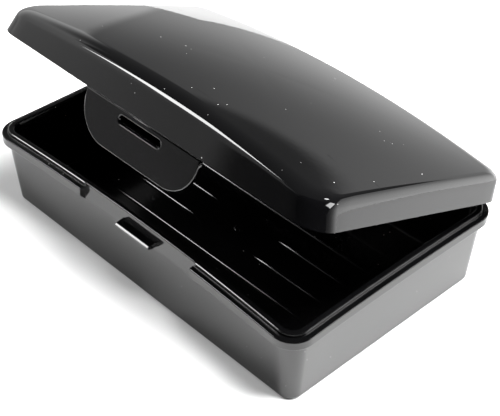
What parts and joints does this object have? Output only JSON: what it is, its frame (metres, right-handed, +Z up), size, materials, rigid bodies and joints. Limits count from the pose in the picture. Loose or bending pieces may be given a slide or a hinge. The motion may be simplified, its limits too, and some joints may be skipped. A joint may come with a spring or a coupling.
{
  "type": "hinged soap box",
  "caption": "Small hinged travel soap box in gloss black plastic: shallow tub with a bowed front rim, arched lid standing part open, slotted latch flap and catch bar.",
  "frame": {"origin": "centre of the base's footprint, on the table", "axes": "+X along the long front edge, +Y from the latch to the hinge, +Z up"},
  "size_m": [0.11, 0.0779, 0.0578],
  "materials": {
    "base_plastic": "gloss black, lightly satin on the outside walls",
    "lid_plastic": "high gloss black",
    "pin_plastic": "gloss black"
  },
  "bodies": {
    "base": {"base_tub": "base_plastic", "floor_ribs": "base_plastic", "latch_catch": "base_plastic", "hinge_ears_left": "base_plastic", "hinge_ears_right": "base_plastic", "hinge_pin_left": "pin_plastic", "hinge_pin_right": "pin_plastic"},
    "lid": {"lid_shell": "lid_plastic", "lid_knuckle_left": "lid_plastic", "lid_knuckle_right": "lid_plastic"},
    "latch": {"latch_flap": "lid_plastic"}
  },
  "joints": [
    {"name": "lid_hinge", "type": "hinge", "parent": "base", "child": "lid", "pos_m": [0, 0.0408, 0.02105], "axis": [-1, 0, 0], "range_deg": [-22.05, 87.95]},
    {"name": "latch_flex", "type": "hinge", "parent": "lid", "child": "latch", "pos_m": [0.0004, -0.02888, 0.04879], "axis": [-1, 0, 0], "range_deg": [0, 25], "stiffness_Nm_per_rad": 0.004}
  ]
}
